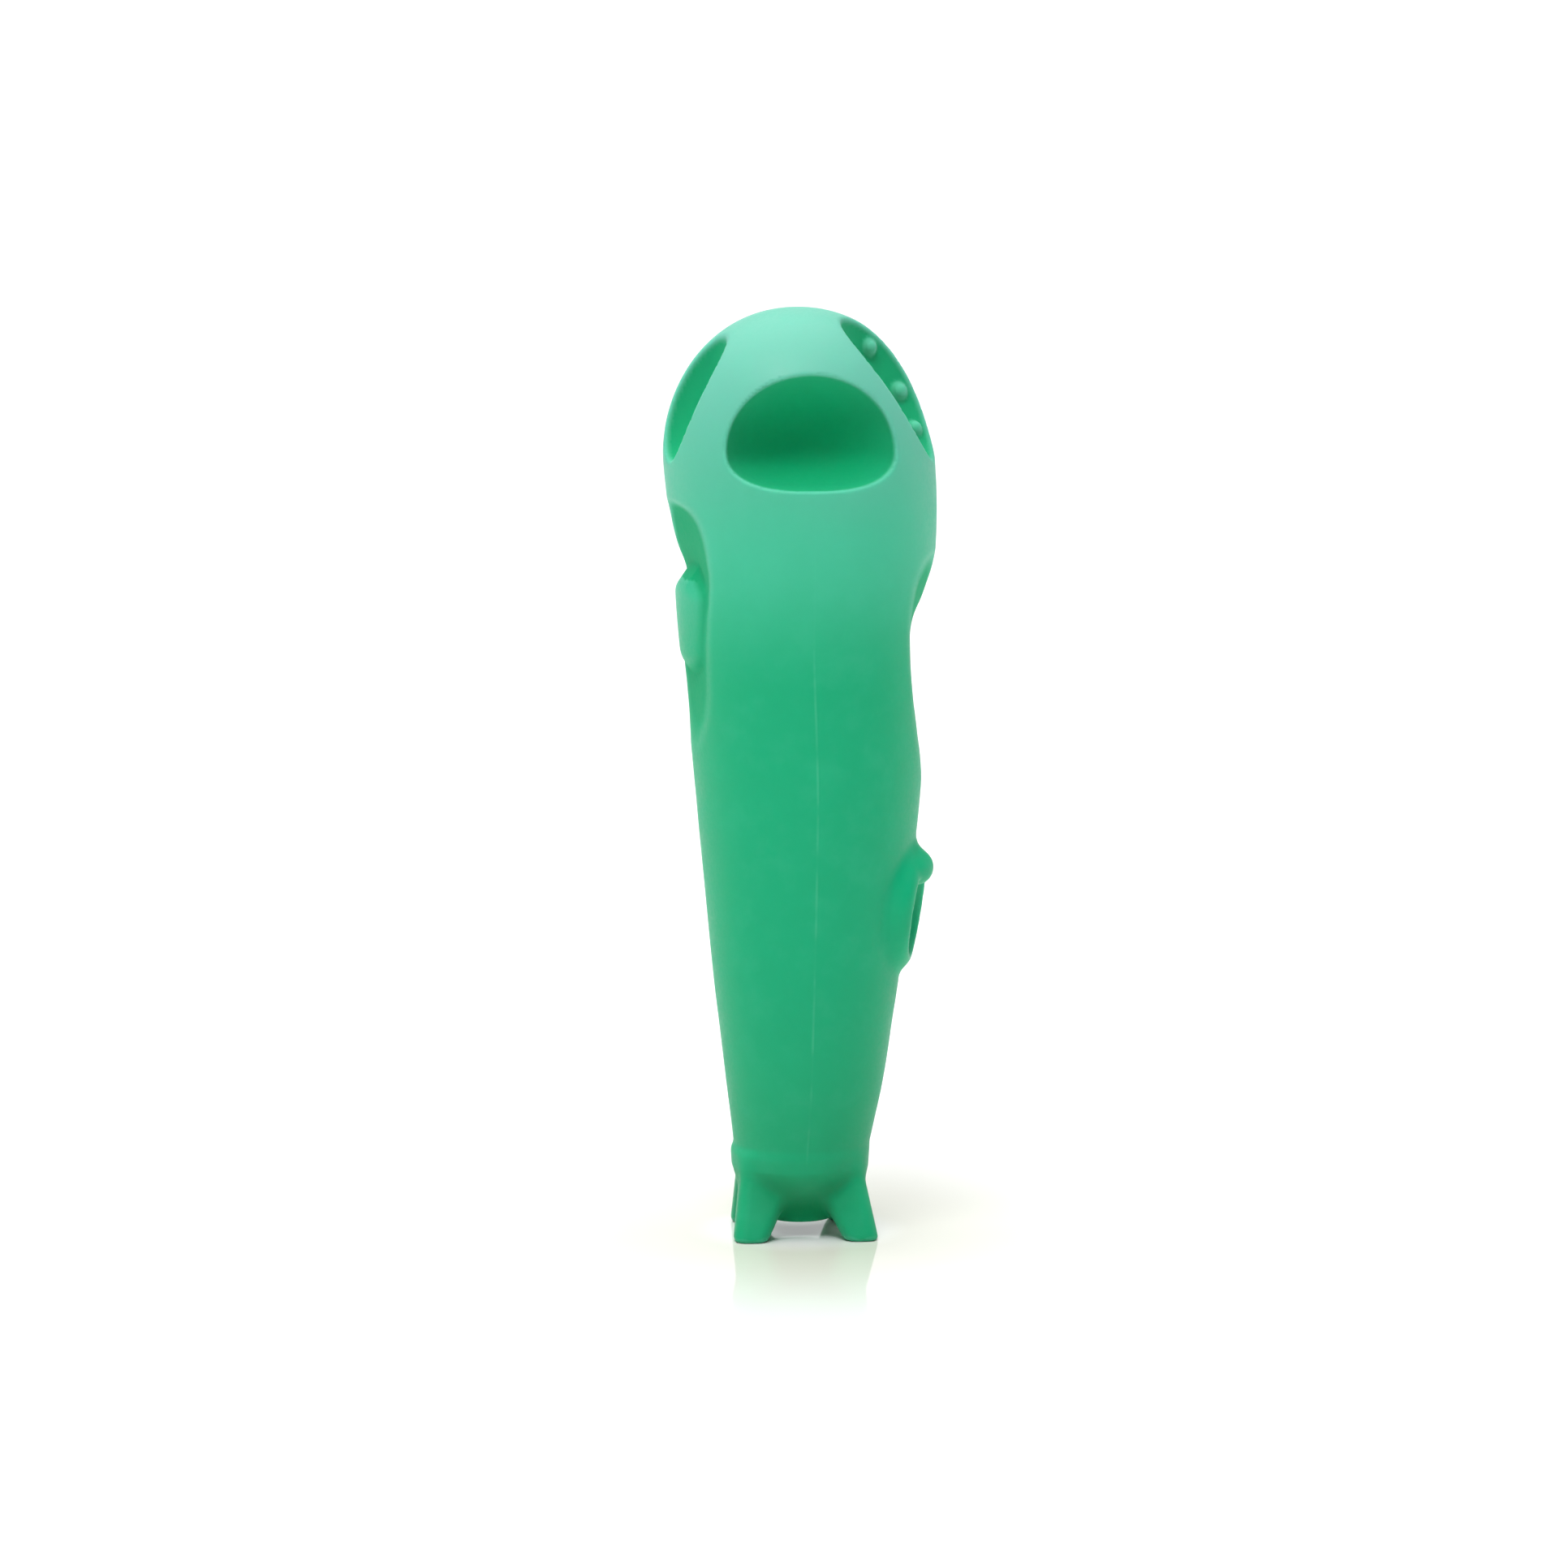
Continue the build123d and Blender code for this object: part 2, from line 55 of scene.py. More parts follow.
# handle: height, radius, sideways shift of the section
PROFILE = np.array([
    (0.0, 10.3, 0.0), (9.0, 10.7, 0.1), (12.5, 11.2, 0.15), (16.0, 11.8, 0.4),
    (20.0, 12.45, 0.6), (25.0, 13.35, 0.85), (31.0, 14.2, 1.0), (37.0, 14.95, 1.05),
    (42.5, 15.75, 1.15), (50.0, 16.6, 1.25), (57.0, 17.35, 1.35), (64.0, 18.05, 1.4),
    (70.5, 18.75, 1.45), (76.0, 19.25, 1.5), (81.7, 19.7, 1.4), (88.0, 20.05, 1.2),
    (95.0, 20.6, 0.9), (101.0, 21.1, 0.65), (107.0, 21.6, 0.6), (113.0, 22.05, 0.7),
    (119.0, 22.5, 0.8), (124.0, 22.85, 0.6), (129.0, 23.12, 0.3), (133.0, 23.2, -0.05),
    (136.0, 23.2, -0.2), (140.0, 23.2, -0.35), (162.0, 23.2, -0.35)])

# waist recesses: height, depth line measured along the cut, turn in degrees
RECESS_LEFT = [
    (80, 20.7, 8), (83, 19.3, 8), (86, 18.4, 8), (90.4, 17.95, 9), (95, 18.0, 9.8),
    (99.5, 18.3, 10), (104, 18.4, 9), (108, 18.05, 7), (111, 17.6, 5.5), (114, 17.5, 5.0),
    (116, 17.9, 6.5), (118, 18.6, 9), (120.7, 19.4, 11.5), (122.7, 19.95, 12.5),
    (124.7, 20.55, 12.5), (126.4, 21.3, 12.5), (127.6, 22.4, 12.5), (128.6, 24.2, 12.5)]
RECESS_RIGHT = [
    (74, 22.6, 5), (78, 21.6, 5), (81, 21.0, 5), (84, 20.6, 5), (86, 20.3, 5),
    (88.2, 20.05, 5), (91.2, 19.65, 5), (94.2, 19.33, 5), (97.1, 19.08, 5),
    (100.0, 18.88, 5), (102.8, 18.8, 5), (105, 18.85, 5.4), (107, 19.4, 8),
    (109, 20.0, 10.5), (111.8, 20.75, 13), (113.3, 21.2, 14.5), (115.0, 21.8, 16),
    (116.5, 22.3, 17), (117.8, 22.85, 17), (119, 23.6, 17), (120.2, 25, 17)]


def smoothed(y, sigma, step):
    n = int(3 * sigma / step) + 1
    k = np.exp(-0.5 * (np.arange(-n, n + 1) * step / sigma) ** 2)
    k /= k.sum()
    ends = np.arange(1, n + 1)
    y = np.concatenate([y[0] - (y[1] - y[0]) * ends[::-1], y, y[-1] + (y[-1] - y[-2]) * ends])
    return np.convolve(y, k, mode="valid")


ZZ = np.arange(-2.0, 162.01, 0.25)
RR = smoothed(np.interp(ZZ, PROFILE[:, 0], PROFILE[:, 1]), 2.0, 0.25)
CC = smoothed(np.interp(ZZ, PROFILE[:, 0], PROFILE[:, 2]), 2.0, 0.25)
DR = np.gradient(RR, ZZ)


def recess_table(rows, low, high):
    t = np.array(rows, float)
    t = np.vstack([[t[0, 0] - 6, t[0, 1] + 6 * low, t[0, 2]], t, [t[-1, 0] + 4, t[-1, 1] + 4 * high, t[-1, 2]]])
    z = np.arange(t[0, 0], t[-1, 0] + 0.01, 0.2)
    u = smoothed(np.interp(z, t[:, 0], t[:, 1]), 0.5, 0.2)
    turn = np.radians(smoothed(np.interp(z, t[:, 0], t[:, 2]), 1.0, 0.2))
    return z, u, np.gradient(u, z), turn


LEFT_TABLE = recess_table(RECESS_LEFT, 0.6, 2.0)
RIGHT_TABLE = recess_table(RECESS_RIGHT, 0.3, 1.2)


def smin(a, b, k):
    h = np.maximum(k - np.abs(a - b), 0) / k
    return np.minimum(a, b) - h * h * k * 0.25


def smax(a, b, k):
    return -smin(-a, -b, k)


def axes_of(normal, along):
    n = np.asarray(normal, float); n = n / np.linalg.norm(n)
    a = np.asarray(along, float); a = a - n * (a @ n); a = a / np.linalg.norm(a)
    return np.stack([a, np.cross(n, a), n])


def ellipsoid(P, centre, axes, radii):
    q = (P - centre) @ axes.T
    k0 = np.sqrt(((q / radii) ** 2).sum(1))
    k1 = np.sqrt(((q / np.square(radii)) ** 2).sum(1)) + 1e-9
    return k0 * (k0 - 1) / k1


# finger dents in the sides of the head: surface point, outward axes, radii
LEFT_AXES = axes_of((-.9431, -.2119, .2563), (.2626, -.0019, .9649))
LEFT_AT = np.array([-19.32, -4.78, 147.9])
LEFT_RADII = np.array([14.33, 6.75, 7.4])
LEFT_SINK = 1.6
RIGHT_AXES = axes_of((.7910, -.2851, .5413), (-.5806, -.0709, .8111))
RIGHT_AT = np.array([17.61, -4.81, 147.56])
RIGHT_RADII = np.array([19.48, 10.26, 9.6])
RIGHT_SINK = 3.2
# grip nubs on the far wall of the right dent: centre and radius
NUBS = [((11.9, 1.8, 152.9), 1.4), ((17.2, 3.1, 145.2), 1.45), ((19.7, 0.9, 139.0), 1.3)]

THUMB_AT = np.array([0.6, -21.2, 137.9])
THUMB_A, THUMB_UP, THUMB_DOWN, THUMB_DEEP = 15.2, 12.7, 6.9, 11.2

# vent ring on the side of the handle
VENT_ANGLE = math.radians(77)
VENT_OUT = np.array([math.sin(VENT_ANGLE) * .991, -math.cos(VENT_ANGLE) * .991, -.134])
VENT_AXES = axes_of(VENT_OUT, (0, 0, 1))
VENT_AT = np.array([1.35 + 16.7 * math.sin(VENT_ANGLE), -16.7 * math.cos(VENT_ANGLE), 57.2])
VENT_A, VENT_B, VENT_TUBE = 8.0, 6.3, 2.55
DISH_OUT, DISH_RADII = 4.7, np.array([7.9, 6.4, 6.4])

PAD_TOP, PAD_LOW, PAD_BACK = 110.6, 100.4, 6.0

# exhaust valve port in the back of the head
PORT_Z, PORT_R = 142.0, 4.0

FEET = {(-1, -1): (9.2, 8.9), (1, -1): (9.95, 8.9), (-1, 1): (8.3, 8.5), (1, 1): (8.6, 8.5)}


def base(P):
    x, y, z = P.T
    c = np.interp(z, ZZ, CC)
    out = (np.hypot(x - c, y) - np.interp(z, ZZ, RR)) / np.sqrt(1 + np.interp(z, ZZ, DR) ** 2)
    if z.max() > 131:
        rho, v, p = np.hypot(x - c, y) / HEAD_R, np.abs(z - HEAD_Z) / HEAD_H, 2.1
        s = rho ** p + v ** p + 1e-12
        f = s ** (1 / p)
        gr, gz = f / s * rho ** (p - 1) / HEAD_R, f / s * v ** (p - 1) / HEAD_H
        head = (f - 1) / np.sqrt(gr * gr + gz * gz + 1e-12)
        w = np.clip((z - 132) / 6, 0, 1)
        w = w * w * (3 - 2 * w)
        out = out * (1 - w) + head * w
    return out


def thumb_dent(P):
    x = (P[:, 0] - THUMB_AT[0]) / THUMB_A
    dz = P[:, 2] - THUMB_AT[2]
    rz = np.where(dz > 0, THUMB_UP, THUMB_DOWN)
    v = dz / rz
    w = (P[:, 1] - THUMB_AT[1]) / THUMB_DEEP
    p = np.where(dz > 0, 2.0, 2.5)
    k0 = np.sqrt((np.abs(x) ** p + np.abs(v) ** p) ** (2 / p) + w ** 2)
    k1 = np.sqrt((x / THUMB_A) ** 2 + (v / rz) ** 2 + (w / THUMB_DEEP) ** 2) + 1e-9
    return k0 * (k0 - 1) / k1


def recess(P, table, side):
    zz, uu, gg, tt = table
    z = P[:, 2]
    t = np.interp(z, zz, tt)
    u = side * P[:, 0] * np.cos(t) - P[:, 1] * np.sin(t)
    g = np.interp(z, zz, gg, left=0, right=0)
    return (np.interp(z, zz, uu) - u) / np.sqrt(1 + g * g)


def leg(P, sx, sy):
    x, y, z = P.T
    t = np.clip(z / 11.0, -.2, 1.4)
    fx, fy = FEET[(sx, sy)]
    cx = fx + ((5.75 if sy < 0 else 5.5) - fx) * t
    cy = fy + (4.3 - fy) * t
    hx, hy, r = 2.95 + 1.95 * t, 2.75 + 0.75 * t, 2.2
    qx, qy = np.abs(x - sx * cx) - (hx - r), np.abs(y - sy * cy) - (hy - r)
    d = np.hypot(np.maximum(qx, 0), np.maximum(qy, 0)) + np.minimum(np.maximum(qx, qy), 0) - r
    d = smax(d * 0.93, -z, 0.9)
    return smax(d, z - 13.5, 1.0)


def shape(P):
    x, y, z = P.T
    z0, z1 = z.min(), z.max()
    d = base(P)
    if z0 < 20:
        # the keel between the legs hangs lowest in the middle of each side
        m = np.minimum(np.abs(x), np.abs(y))
        keel = 8.9 + 0.40 * np.sqrt(m * m + 0.8)
        d = smax(d, (keel - z) * 0.9, 2.6)
        for sx, sy in FEET:
            d = smin(d, leg(P, sx, sy), 2.6)
        rr = np.hypot(x, y)
        cone = (rr - 6.4 - 0.50 * np.clip(z - 2.8, 0, 9)) * 0.9
        d = smin(d, smax(smax(cone, 2.4 - z, 1.4), z - 14, 1), 2.2)
        # socket for the pipette sleeve
        d = smax(d, -smax(rr - 5.05, z - 15.0, 0.5), 0.5)
    if z0 < 74 and z1 > 40:
        q = (P - VENT_AT) @ VENT_AXES.T
        k = np.sqrt((q[:, 0] / VENT_A) ** 2 + (q[:, 1] / VENT_B) ** 2)
        pr = np.hypot(q[:, 0], q[:, 1])
        ring = np.hypot(pr - pr / np.maximum(k, 1e-6), q[:, 2]) - VENT_TUBE
        d = smin(d, ring, 2.4)
        d = smax(d, -ellipsoid(P, VENT_AT + VENT_AXES[2] * DISH_OUT - VENT_AXES[0] * 0.6, VENT_AXES, DISH_RADII), 1.2)
        # finger stop at the top of the ring
        stop = ellipsoid(P, VENT_AT + VENT_AXES[0] * 7.0 + VENT_AXES[2] * 1.5, VENT_AXES, np.array([2.9, 4.2, 2.7]))
        d = smin(d, stop, 1.0)
        # press dome in the middle of the dish
        dome = ellipsoid(P, VENT_AT - VENT_AXES[2] * 3.2, VENT_AXES, np.array([3.2, 2.8, 2.1]))
        d = smin(d, dome, 0.6)
    if z0 < 134 and z1 > 74:
        cut = recess(P, LEFT_TABLE, -1)
        c, r = np.interp(z, ZZ, CC), np.interp(z, ZZ, RR)
        depth = r - np.hypot(x - c, y)
        pad = np.hypot(x - c, y - 1.6) - (r - 0.10)
        rim = PAD_TOP + np.minimum(0.10 * (y + 9.5) ** 2, 1.6)
        pad = smax(pad, (z - rim - 1.35 * depth) / 1.68, 0.7)
        pad = smax(pad, (PAD_LOW - z - 0.10 * (y + 6) - 1.1 * depth) / 1.45, 1.4)
        pad = smax(pad, (y - PAD_BACK - 1.4 * depth) / 1.7, 2.0)
        pad = smax(pad, x + 12.5, 1.0)
        body = smax(d, -cut, 0.6)
        # the pad stands clear of the recess's front lip
        pad = smax(pad, cut - 0.3, 0.4)
        d = smin(body, pad, 0.5)
        d = smax(d, -recess(P, RIGHT_TABLE, 1), 0.7)
    if z1 > 118:
        d = smax(d, -ellipsoid(P, LEFT_AT + LEFT_SINK * LEFT_AXES[2], LEFT_AXES, LEFT_RADII), 0.7)
        d = smax(d, -ellipsoid(P, RIGHT_AT + RIGHT_SINK * RIGHT_AXES[2], RIGHT_AXES, RIGHT_RADII), 0.7)
        for at, r in NUBS:
            d = smin(d, np.sqrt(((P - np.array(at)) ** 2).sum(1)) - r, 1.0)
        d = smax(d, -thumb_dent(P), 0.8)
        # port of the exhaust valve, with a low collar round it
        rp = np.hypot(x, z - PORT_Z)
        collar = smax(np.hypot(rp - 6.2, y - 21.3) - 1.5, 12 - y, 0.3)
        d = smin(d, collar, 1.6)
        d = smax(d, -smax(rp - PORT_R, 12.0 - y, 0.4), 0.6)
    return d


def field(P):
    out = np.empty(len(P))
    order = np.argsort(P[:, 2], kind="stable")
    for part in np.array_split(order, max(1, len(P) // 50000)):
        out[part] = shape(P[part])
    return out


def gradient(P, e=0.04):
    g = np.empty((len(P), 3))
    for i in range(3):
        s = np.zeros(3)
        s[i] = e
        g[:, i] = (field(P + s) - field(P - s)) / (2 * e)
    return g


def surface_net(F, low, h):
    """Quads through the zero level of F, which is indexed [z, y, x]."""
    nz, ny, nx = F.shape
    neg = F < 0
    count = np.zeros((nz - 1, ny - 1, nx - 1), np.int8)
    for a in (0, 1):
        for b in (0, 1):
            for c in (0, 1):
                count += neg[a:nz - 1 + a, b:ny - 1 + b, c:nx - 1 + c]
    live = (count > 0) & (count < 8)
    index = np.full(live.shape, -1, np.int64)
    index[live] = np.arange(live.sum())
    kz, ky, kx = np.nonzero(live)
    total, n = np.zeros((len(kz), 3)), np.zeros(len(kz))
    corner = [(c, b, a) for a in (0, 1) for b in (0, 1) for c in (0, 1)]      # x, y, z
    for i in range(8):
        for j in range(i + 1, 8):
            p, q = np.array(corner[i]), np.array(corner[j])
            if abs(p - q).sum() != 1:
                continue
            va = F[kz + p[2], ky + p[1], kx + p[0]]
            vb = F[kz + q[2], ky + q[1], kx + q[0]]
            m = (va < 0) != (vb < 0)
            t = va[m] / (va[m] - vb[m])
            total[m] += p + t[:, None] * (q - p)
            n[m] += 1
    V = np.array(low) + (np.stack([kx, ky, kz], 1) + total / n[:, None]) * h
    quads = []
    for axis in (0, 1, 2):                       # edges along x, y, z
        a = [slice(1, -1)] * 3                   # order z, y, x
        b = [slice(1, -1)] * 3
        d = 2 - axis
        a[d], b[d] = slice(0, -1), slice(1, None)
        na, nb = neg[tuple(a)], neg[tuple(b)]
        for flip in (False, True):
            hit = (na & ~nb) if not flip else (~na & nb)
            z, y, x = np.nonzero(hit)
            e = [z, y, x]
            for k in range(3):
                if k != d:
                    e[k] = e[k] + 1
            z, y, x = e
            if axis == 0:
                ring = [(z - 1, y - 1, x), (z - 1, y, x), (z, y, x), (z, y - 1, x)]
            elif axis == 1:
                ring = [(z - 1, y, x - 1), (z, y, x - 1), (z, y, x), (z - 1, y, x)]
            else:
                ring = [(z, y - 1, x - 1), (z, y - 1, x), (z, y, x), (z, y, x - 1)]
            q = np.stack([index[r] for r in ring], 1)
            quads.append(q[:, ::-1] if flip else q)
    return V, np.concatenate(quads)


def settle(V, h):
    """Moves the points onto the surface and gives their outward normals."""
    for _ in range(2):
        f, g = field(V), gradient(V)
        step = (f / np.maximum((g * g).sum(1), 0.05))[:, None] * g
        far = np.linalg.norm(step, axis=1)
        V = V - step * np.minimum(1, 0.45 * h / np.maximum(far, 1e-9))[:, None]
    g = gradient(V, 0.10)
    return V, g / np.maximum(np.linalg.norm(g, axis=1), 1e-9)[:, None]


GRID = 0.55
low = np.array([-25.4, -24.6, -1.3])
size = np.array([51.4, 49.2, 163.0])
nx, ny, nz = (size / GRID).astype(int) + 1
gx, gy, gz = [low[i] + np.arange(n) * GRID for i, n in enumerate((nx, ny, nz))]
F = np.empty((nz, ny, nx))
PXY = np.stack(np.meshgrid(gx, gy, indexing="xy"), -1).reshape(-1, 2)
for k0 in range(0, nz, 6):
    zs = gz[k0:k0 + 6]
    P = np.concatenate([np.column_stack([PXY, np.full(len(PXY), z)]) for z in zs])
    F[k0:k0 + 6] = shape(P).reshape(len(zs), ny, nx)
V, Q = surface_net(F, low, GRID)
V, N = settle(V, GRID)

# how sharply the skin bends: positive on a lip, negative in a crease
E = 0.8
bend = np.zeros(len(V))
ref = np.where(np.abs(N[:, 2:3]) < 0.9, [[0, 0, 1.0]], [[1.0, 0, 0]])
T1 = np.cross(N, ref); T1 /= np.linalg.norm(T1, axis=1)[:, None]
T2 = np.cross(N, T1)
for T in (T1, T2, (T1 + T2) / math.sqrt(2), (T1 - T2) / math.sqrt(2)):
    bend += (field(V + T * E) + field(V - T * E)) / 4
LIP = np.clip(bend / 0.28, -1, 1)
SEAM = V[:, 0] - np.interp(V[:, 2], ZZ, CC)
# how far a point lies below the uncut form, and how far it is tucked between the legs: masks for the painted shade in
# the hollows and under the body (the first also raises the roughness)
TUCK = np.clip((11.0 - V[:, 2]) / 5.0, 0, 1) * np.clip((9.4 - np.hypot(V[:, 0], V[:, 1])) / 2.0, 0, 1)
SUNK = np.clip((-base(V) - 0.18) / 0.9, 0, 1) * np.clip((V[:, 2] - 15) / 10, 0, 1)
# the pad face and the nubs get less of the painted shade
SUNK *= 1 - np.clip((-V[:, 0] * 0.9877 - V[:, 1] * 0.1564 - 18.7) / 0.8, 0, 1) * (V[:, 2] > 98) * (V[:, 2] < 114) * 0.85
for at, r in NUBS:
    SUNK *= 1 - 0.6 * np.clip(1.4 - np.linalg.norm(V - np.array(at), axis=1) / r, 0, 1) / 0.4 * (np.linalg.norm(V - np.array(at), axis=1) < 1.4 * r)
SUNK = np.clip(np.maximum(SUNK, TUCK), 0, 1)
# painted shade under the chin, over the roots of the legs and nozzle, darkest between them
ROOT_SHADE = np.clip((12.6 - V[:, 2]) / 3.0, 0, 1) * np.clip((V[:, 2] - 0.5) / 5.0, 0, 1) * np.clip((14.0 - np.hypot(V[:, 0], V[:, 1])) / 7.0, 0, 1)
# how deep, for the painted shade that darkens slowly toward the bottom of a hollow
DEEP_SHADE = np.clip((-base(V) - 1.5) / 8.0, 0, 1) * np.clip((V[:, 2] - 15) / 10, 0, 1)


# ------------------------------------------------------------------ skin pieces
def side_depth(at, axes):
    return -((V - at) @ axes[2])


thumb_in = (np.abs(thumb_dent(V)) < 0.6) & (V[:, 1] > -17.2) & (np.abs(V[:, 0]) < 16) & (V[:, 2] > 128) & (V[:, 1] < -8)
left_in = (np.abs(ellipsoid(V, LEFT_AT + LEFT_SINK * LEFT_AXES[2], LEFT_AXES, LEFT_RADII)) < 0.6) & (side_depth(LEFT_AT, LEFT_AXES) > 3.7) & (V[:, 0] < -8)
right_in = (ellipsoid(V, RIGHT_AT + RIGHT_SINK * RIGHT_AXES[2], RIGHT_AXES, RIGHT_RADII) < 0.9) & (side_depth(RIGHT_AT, RIGHT_AXES) > 4.2) & (V[:, 0] > 6) & (V[:, 2] > 130)
vq = (V - VENT_AT) @ VENT_AXES.T
vent_in = (vq[:, 2] < 0.6) & ((vq[:, 0] / 7.4) ** 2 + (vq[:, 1] / 5.8) ** 2 < 1) & (V[:, 0] > 8) & (ellipsoid(V, VENT_AT + VENT_AXES[2] * DISH_OUT, VENT_AXES, DISH_RADII) < 1.0)
PAD_OUT = np.array([-math.cos(math.radians(9)), -math.sin(math.radians(9)), 0.0])
pad_in = (V @ PAD_OUT > 18.6) & (V[:, 2] > 97.5) & (V[:, 2] < 113.5) & (V[:, 0] < 0)

region = np.zeros(len(V), np.int8)
for number, mask in enumerate((thumb_in, left_in, right_in, pad_in, vent_in), 1):
    region[mask] = number
quad_region = np.zeros(len(Q), np.int8)
for number in range(1, 6):
    quad_region[(region[Q] == number).all(1)] = number


def skin_piece(name, number):
    quads = Q[quad_region == number]
    used, flat = np.unique(quads.ravel(), return_inverse=True)
    co = V[used] / 1000.0
    me = bpy.data.meshes.new(name)
    me.vertices.add(len(used))
    me.vertices.foreach_set("co", co.astype(np.float32).ravel())
    me.loops.add(len(flat))
    me.loops.foreach_set("vertex_index", flat.astype(np.int32))
    me.polygons.add(len(quads))
    me.polygons.foreach_set("loop_start", np.arange(0, len(flat), 4, dtype=np.int32))
    me.update(calc_edges=True)
    me.polygons.foreach_set("use_smooth", np.ones(len(quads), bool))
    for label, values in (("lip", LIP), ("seam", SEAM), ("sunk", SUNK), ("deep_shade", DEEP_SHADE), ("root_shade", ROOT_SHADE)):
        a = me.attributes.new(label, "FLOAT", "POINT")
        a.data.foreach_set("value", values[used].astype(np.float32))
    me.normals_split_custom_set_from_vertices([tuple(n) for n in N[used]])
    me.validate()
    ob = bpy.data.objects.new(name, me)
    bpy.context.scene.collection.objects.link(ob)
    return ob


bulb = skin_piece("silicone_bulb_skin", 0)
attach(bulb, "body")
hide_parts("silicone_body")
thumb = skin_piece("thumb_dent_membrane", 1)
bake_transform(thumb)
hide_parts("thumb_dent_wall")
left = skin_piece("left_dent_membrane", 2)
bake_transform(left)
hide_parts("left_dent_wall")
right = skin_piece("right_dent_membrane", 3)
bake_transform(right)
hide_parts("right_dent_wall")
pad = skin_piece("suction_pad_membrane", 4)
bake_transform(pad)
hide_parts("suction_pad")
vent = skin_piece("vent_dish_membrane", 5)
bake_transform(vent)
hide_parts("vent_button")
skins = [bulb, thumb, left, right, pad, vent]


def turned(name, profile, sides):
    """A closed profile of (radius, height) points in millimetres turned about the vertical axis."""
    me = bpy.data.meshes.new(name)
    n = len(profile)
    co = []
    for i in range(sides):
        a = 2 * math.pi * i / sides
        co += [(r * math.cos(a) / 1000, r * math.sin(a) / 1000, z / 1000) for r, z in profile]
    faces = []
    for i in range(sides):
        j = (i + 1) % sides
        faces += [(i * n + k, j * n + k, j * n + (k + 1) % n, i * n + (k + 1) % n) for k in range(n)]
    me.from_pydata(co, [], faces)
    me.polygons.foreach_set("use_smooth", np.ones(len(faces), bool))
    me.update()
    me.validate()
    ob = bpy.data.objects.new(name, me)
    bpy.context.scene.collection.objects.link(ob)
    return ob


def sleeve_profile():
    """Soft sleeve in the nozzle: rounded lip, flared mouth and three shallow gripping ribs."""
    pts = []
    for t in np.linspace(-0.5 * math.pi, 0.0, 9):
        pts.append((4.62 + 0.38 * math.cos(t), 3.62 + 0.38 * math.sin(t)))
    pts += [(5.0, z) for z in np.linspace(4.6, 13.4, 8)]
    for t in np.linspace(0.0, 0.5 * math.pi, 5):
        pts.append((4.7 + 0.3 * math.cos(t), 13.7 + 0.3 * math.sin(t)))
    pts += [(4.2, 14.0), (3.9, 14.0)]
    for z in np.linspace(13.6, 5.4, 60):
        rib = abs(math.sin((z - 5.4) / 8.2 * 3 * math.pi))
        pts.append((3.75 - 0.35 * rib ** 1.5, z))
    for t in np.linspace(math.pi, 1.5 * math.pi, 11):
        pts.append((4.62 + 0.62 * math.cos(t), 4.10 + 0.86 * math.sin(t)))
    return pts[:-1]


sleeve = turned("pipette_sleeve_turned", sleeve_profile(), 128)
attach(sleeve, "body")
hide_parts("pipette_sleeve")

# ------------------------------------------------------------------ materials


class Nodes:
    """A material's node tree, built a node at a time."""

    def __init__(self, name):
        self.mat = bpy.data.materials.new(name)
        self.mat.use_nodes = True
        self.tree = self.mat.node_tree
        self.tree.nodes.clear()
        self.out = self.add("ShaderNodeOutputMaterial")
        self.bsdf = self.add("ShaderNodeBsdfPrincipled")
        self.link(self.bsdf.outputs[0], self.out.inputs[0])
        self.where = self.add("ShaderNodeTexCoord").outputs["Object"]

    def add(self, kind, **values):
        n = self.tree.nodes.new(kind)
        for k, v in values.items():
            setattr(n, k, v)
        return n

    def link(self, a, b):
        self.tree.links.new(a, b)
        return b

    def noise(self, scale, detail=2.0, rough=0.5, distort=0.0, stretch=None):
        n = self.add("ShaderNodeTexNoise")
        n.inputs["Scale"].default_value = scale
        n.inputs["Detail"].default_value = detail
        n.inputs["Roughness"].default_value = rough
        n.inputs["Distortion"].default_value = distort
        if stretch:
            m = self.add("ShaderNodeMapping")
            m.inputs["Scale"].default_value = stretch
            self.link(self.where, m.inputs["Vector"])
            self.link(m.outputs[0], n.inputs["Vector"])
        else:
            self.link(self.where, n.inputs["Vector"])
        return n.outputs["Fac"]

    def attribute(self, name):
        return self.add("ShaderNodeAttribute", attribute_name=name).outputs["Fac"]

    def spread(self, value, a, b, lo, hi):
        n = self.add("ShaderNodeMapRange", interpolation_type="SMOOTHSTEP")
        self.link(value, n.inputs["Value"])
        for k, v in zip(("From Min", "From Max", "To Min", "To Max"), (a, b, lo, hi)):
            n.inputs[k].default_value = v
        return n.outputs[0]

    def math(self, op, a, b=None, c=None):
        n = self.add("ShaderNodeMath", operation=op)
        for i, v in enumerate((a, b, c)):
            if v is None:
                continue
            if isinstance(v, (int, float)):
                n.inputs[i].default_value = v
            else:
                self.link(v, n.inputs[i])
        return n.outputs[0]

    def mix(self, fac, a, b, kind="MIX"):
        n = self.add("ShaderNodeMix", data_type="RGBA", blend_type=kind)
        for i, v in ((0, fac), (6, a), (7, b)):
            if isinstance(v, (int, float)):
                n.inputs[i].default_value = v
            elif isinstance(v, tuple):
                n.inputs[i].default_value = (*v, 1.0)
            else:
                self.link(v, n.inputs[i])
        return n.outputs[2]

    def bump(self, height, strength, distance, under=None):
        n = self.add("ShaderNodeBump")
        n.inputs["Strength"].default_value = strength
        n.inputs["Distance"].default_value = distance
        self.link(height, n.inputs["Height"])
        if under is not None:
            self.link(under, n.inputs["Normal"])
        return n.outputs[0]

    def set(self, **values):
        for k, v in values.items():
            s = self.bsdf.inputs[k.replace("_", " ")]
            if hasattr(v, "is_linked"):
                self.link(v, s)
            elif isinstance(v, tuple) and len(v) == 3 and s.type == "RGBA":
                s.default_value = (*v, 1.0)
            else:
                s.default_value = v
        return self.mat


